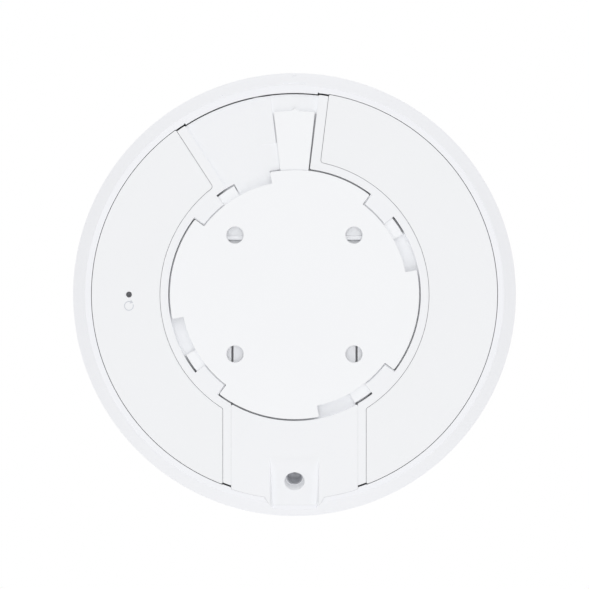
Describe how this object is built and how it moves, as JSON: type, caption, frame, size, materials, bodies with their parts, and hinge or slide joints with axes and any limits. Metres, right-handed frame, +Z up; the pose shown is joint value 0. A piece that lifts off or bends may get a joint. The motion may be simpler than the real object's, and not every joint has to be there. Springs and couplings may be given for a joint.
{
  "type": "ceiling access point",
  "caption": "Round white ceiling wireless access point that twists on to a flat ceiling bracket with a springy locking tongue, with a cable outlet and a reset pinhole in its rear face.",
  "frame": {"origin": "centre of the bracket's ceiling face", "axes": "+Z up into the ceiling, square to the bracket's ceiling face; +Y towards the locking tongue; the unit hangs towards -Z"},
  "size_m": [0.16, 0.16, 0.033],
  "materials": {
    "bracket_plastic": "fine matte moulded white",
    "cover_plastic": "satin white",
    "frame_plastic": "fine matte moulded white",
    "panel_plastic": "matte white",
    "diffuser": "milky satin",
    "grommet_rubber": "matte grey",
    "cast_aluminium": "satin",
    "board_laminate": "solder mask",
    "tinned_steel": "bright tin",
    "black_plastic": "matte",
    "gold_plating": "gold plated",
    "thermal_silicone": "soft matte",
    "capacitor_cans": "satin",
    "antenna_copper": "nickel silver",
    "cable_jacket": "satin black",
    "led_lens": "clear resin",
    "ribbon_film": "polyimide",
    "plunger_plastic": "natural acetal",
    "screw_steel": "zinc plated"
  },
  "bodies": {
    "ceiling_mount": {"mounting_plate": "bracket_plastic"},
    "latch": {"latch_tongue": "bracket_plastic"},
    "reset_stem": {"reset_button": "black_plastic", "reset_plunger": "plunger_plastic"},
    "access_point": {"front_cover": "cover_plastic", "light_ring": "diffuser", "rear_frame": "frame_plastic", "left_wing_panel": "panel_plastic", "right_wing_panel": "panel_plastic", "cable_cover": "frame_plastic", "cable_grommet": "grommet_rubber", "heat_spreader": "cast_aluminium", "main_board": "board_laminate", "jack_shield": "tinned_steel", "jack_insert": "black_plastic", "jack_contacts": "gold_plating", "processor_shield": "tinned_steel", "radio_shields": "tinned_steel", "thermal_pads": "thermal_silicone", "board_capacitors": "capacitor_cans", "antennas_5ghz": "antenna_copper", "antennas_2ghz": "antenna_copper", "antenna_cables": "cable_jacket", "led_board": "board_laminate", "status_leds": "led_lens", "led_ribbon": "ribbon_film", "reset_switch": "black_plastic", "housing_screws": "screw_steel", "board_screws": "screw_steel"}
  },
  "joints": [
    {"name": "twist_lock", "type": "hinge", "parent": "ceiling_mount", "child": "access_point", "pos_m": [0, 0, 0], "axis": [0, 0, -1], "range_deg": [0, 25], "deforming": ["latch_tongue"]},
    {"name": "latch_flex", "type": "hinge", "parent": "ceiling_mount", "child": "latch", "pos_m": [0, 0.0437, -0.001], "axis": [1, 0, 0], "range_deg": [0, 2.7]},
    {"name": "reset_press", "type": "slide", "parent": "access_point", "child": "reset_stem", "axis": [0, 0, -1], "range_m": [0, 0.0003]}
  ]
}
